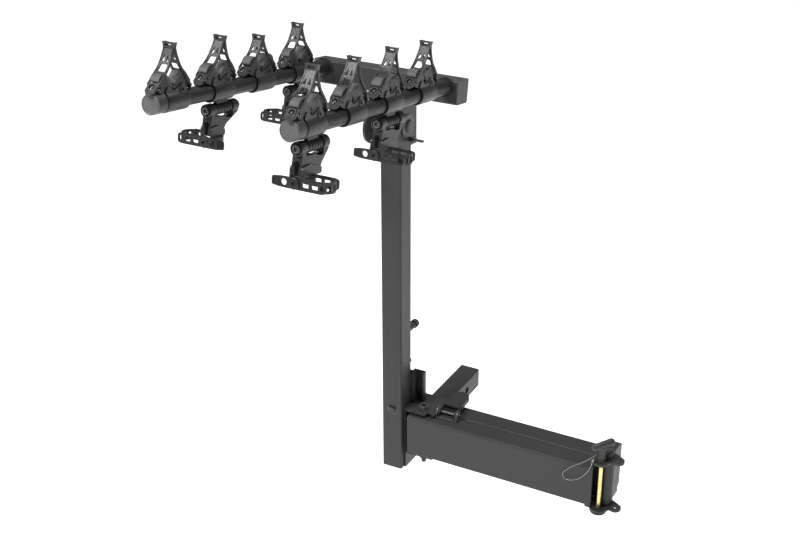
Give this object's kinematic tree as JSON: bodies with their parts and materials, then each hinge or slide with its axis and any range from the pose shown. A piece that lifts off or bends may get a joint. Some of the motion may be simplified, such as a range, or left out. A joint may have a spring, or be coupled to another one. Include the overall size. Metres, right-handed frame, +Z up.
{
  "type": "hitch mounted bike rack",
  "caption": "Swing-away receiver-hitch bike rack: shank, two pivoted beams, square mast and two fold-down arms with strapped cradles and anti-sway cages.",
  "frame": {"origin": "centre of the hitch pin hole in the shank", "axes": "+X along the hitch pin hole and the horizontal beams towards their pivot, +Y towards the vehicle, +Z up"},
  "size_m": [0.7726, 0.9396, 1.1723],
  "materials": {
    "black_powder_coat": "fine-textured satin black powder coat",
    "black_hardware": "black-oxide bolts and pins",
    "zinc": "yellow zinc plating",
    "steel_wire": "bright stranded wire",
    "bush": "oiled nylon",
    "cap_plastic": "satin moulded plastic",
    "cradle_plastic": "satin moulded nylon",
    "pad_rubber": "soft matte rubber",
    "strap_rubber": "matte moulded rubber"
  },
  "bodies": {
    "hitch_side": {"hitch_shank": "black_powder_coat", "fixed_beam": "black_powder_coat", "fixed_beam_cap": "cap_plastic", "pivot_bracket": "black_powder_coat", "pivot_bolt": "black_hardware", "pivot_nut": "black_hardware", "latch_keeper": "black_powder_coat"},
    "swing_frame": {"swing_beam": "black_powder_coat", "swing_beam_cap": "cap_plastic", "pivot_knuckle": "black_powder_coat", "pivot_bushes": "bush", "mast_bracket": "black_powder_coat", "bracket_bolt": "black_hardware", "mast_gusset": "black_powder_coat", "mast": "black_powder_coat", "mast_caps": "cap_plastic", "carriage_bolts": "black_hardware", "mast_bumper": "cap_plastic", "latch_ears": "black_hardware"},
    "latch": {"latch_handle": "black_powder_coat"},
    "lock_pin": {"lock_pin": "zinc", "lock_pin_grip": "cap_plastic", "lanyard": "steel_wire", "lanyard_ferrule": "steel_wire"},
    "arm_frame": {"fold_bracket": "black_powder_coat", "fold_bolt": "black_hardware", "crossbar": "black_powder_coat", "crossbar_caps": "cap_plastic", "arm_left": "black_powder_coat", "arm_right": "black_powder_coat", "arm_caps": "cap_plastic", "cradle_pads": "pad_rubber", "cage_bolts": "black_hardware", "cradle_left_1": "cradle_plastic", "cradle_left_2": "cradle_plastic", "cradle_left_3": "cradle_plastic", "cradle_left_4": "cradle_plastic", "cradle_right_1": "cradle_plastic", "cradle_right_2": "cradle_plastic", "cradle_right_3": "cradle_plastic", "cradle_right_4": "cradle_plastic"},
    "pull_pin": {"fold_pull_pin": "black_hardware"},
    "strap_left_1": {"strap_left_1": "strap_rubber"},
    "strap_left_2": {"strap_left_2": "strap_rubber"},
    "strap_left_3": {"strap_left_3": "strap_rubber"},
    "strap_left_4": {"strap_left_4": "strap_rubber"},
    "strap_right_1": {"strap_right_1": "strap_rubber"},
    "strap_right_2": {"strap_right_2": "strap_rubber"},
    "strap_right_3": {"strap_right_3": "strap_rubber"},
    "strap_right_4": {"strap_right_4": "strap_rubber"},
    "cage_left_2": {"cage_neck_left_2": "cradle_plastic", "cage_band_left_2": "strap_rubber"},
    "cage_left_4": {"cage_neck_left_4": "cradle_plastic", "cage_band_left_4": "strap_rubber"},
    "cage_right_1": {"cage_neck_right_1": "cradle_plastic", "cage_band_right_1": "strap_rubber"},
    "cage_right_3": {"cage_neck_right_3": "cradle_plastic", "cage_band_right_3": "strap_rubber"}
  },
  "joints": [
    {"name": "swing", "type": "hinge", "parent": "hitch_side", "child": "swing_frame", "pos_m": [0.473, -0.213, 0], "axis": [0, 0, 1], "range_deg": [0, 90], "deforming": ["lanyard"]},
    {"name": "lock_pin_lift", "type": "slide", "parent": "hitch_side", "child": "lock_pin", "axis": [0, 0, 1], "range_m": [0, 0.15]},
    {"name": "latch_lift", "type": "hinge", "parent": "swing_frame", "child": "latch", "pos_m": [0.076, -0.21, 0.0648], "axis": [1, 0, 0], "range_deg": [0, 50]},
    {"name": "arm_fold", "type": "hinge", "parent": "swing_frame", "child": "arm_frame", "pos_m": [-0.052, -0.233, 0.764], "axis": [1, 0, 0], "range_deg": [0, 95]},
    {"name": "fold_pin_pull", "type": "slide", "parent": "arm_frame", "child": "pull_pin", "axis": [1, 0, 0], "range_m": [0, 0.012], "stiffness_N_per_m": 400},
    {"name": "strap_open_left_1", "type": "hinge", "parent": "arm_frame", "child": "strap_left_1", "pos_m": [-0.195, -0.74569, 0.97601], "axis": [-1, 0, 0], "range_deg": [0, 60]},
    {"name": "strap_open_left_2", "type": "hinge", "parent": "arm_frame", "child": "strap_left_2", "pos_m": [-0.195, -0.60646, 0.95371], "axis": [-1, 0, 0], "range_deg": [0, 60]},
    {"name": "strap_open_left_3", "type": "hinge", "parent": "arm_frame", "child": "strap_left_3", "pos_m": [-0.195, -0.46724, 0.93141], "axis": [-1, 0, 0], "range_deg": [0, 60]},
    {"name": "strap_open_left_4", "type": "hinge", "parent": "arm_frame", "child": "strap_left_4", "pos_m": [-0.195, -0.32801, 0.90911], "axis": [-1, 0, 0], "range_deg": [0, 60]},
    {"name": "strap_open_right_1", "type": "hinge", "parent": "arm_frame", "child": "strap_right_1", "pos_m": [0.091, -0.74569, 0.97601], "axis": [-1, 0, 0], "range_deg": [0, 60]},
    {"name": "strap_open_right_2", "type": "hinge", "parent": "arm_frame", "child": "strap_right_2", "pos_m": [0.091, -0.60646, 0.95371], "axis": [-1, 0, 0], "range_deg": [0, 60]},
    {"name": "strap_open_right_3", "type": "hinge", "parent": "arm_frame", "child": "strap_right_3", "pos_m": [0.091, -0.46724, 0.93141], "axis": [-1, 0, 0], "range_deg": [0, 60]},
    {"name": "strap_open_right_4", "type": "hinge", "parent": "arm_frame", "child": "strap_right_4", "pos_m": [0.091, -0.32801, 0.90911], "axis": [-1, 0, 0], "range_deg": [0, 60]},
    {"name": "cage_swivel_left_2", "type": "hinge", "parent": "arm_frame", "child": "cage_left_2", "pos_m": [-0.195, -0.65655, 0.90654], "axis": [0, -0.9874, 0.1582], "range_deg": [-50, 50]},
    {"name": "cage_swivel_left_4", "type": "hinge", "parent": "arm_frame", "child": "cage_left_4", "pos_m": [-0.195, -0.3781, 0.86194], "axis": [0, -0.9874, 0.1582], "range_deg": [-50, 50]},
    {"name": "cage_swivel_right_1", "type": "hinge", "parent": "arm_frame", "child": "cage_right_1", "pos_m": [0.091, -0.79578, 0.92884], "axis": [0, -0.9874, 0.1582], "range_deg": [-50, 50]},
    {"name": "cage_swivel_right_3", "type": "hinge", "parent": "arm_frame", "child": "cage_right_3", "pos_m": [0.091, -0.51733, 0.88424], "axis": [0, -0.9874, 0.1582], "range_deg": [-50, 50]}
  ]
}
